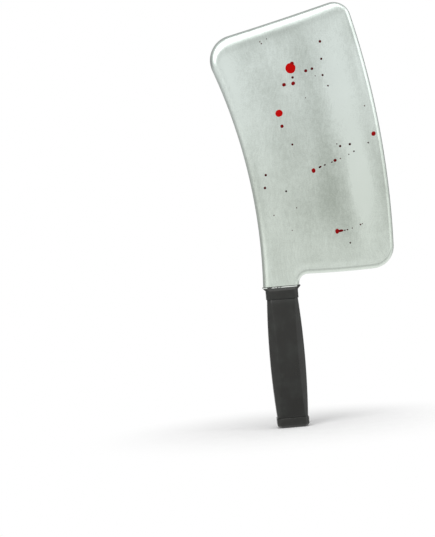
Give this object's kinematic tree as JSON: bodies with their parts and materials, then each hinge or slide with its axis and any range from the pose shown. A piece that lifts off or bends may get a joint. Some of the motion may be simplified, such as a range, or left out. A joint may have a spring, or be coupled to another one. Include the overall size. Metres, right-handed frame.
{
  "type": "prop meat cleaver",
  "caption": "Oversized hollow plastic stage cleaver with a thick rounded silver blade and a black octagonal grip, held upright in the hands.",
  "frame": {"origin": "middle of the grip, on the grip's long axis", "axes": "+Z along the grip towards the blade, +X towards the cutting edge, -Y out of the front face"},
  "size_m": [0.1843, 0.029, 0.4612],
  "materials": {
    "silver_paint": "satin silver paint on moulded plastic",
    "stiffener_plastic": "plain moulded bar",
    "black_plastic": "satin black moulded plastic",
    "screw_steel": "zinc-plated steel"
  },
  "bodies": {
    "root": {"blade_front_shell": "silver_paint", "blade_back_shell": "silver_paint", "tang_stiffener": "stiffener_plastic", "handle_collar": "black_plastic", "handle_front_half": "black_plastic", "handle_back_half": "black_plastic", "handle_screws": "screw_steel", "butt_cap": "black_plastic"}
  },
  "joints": []
}
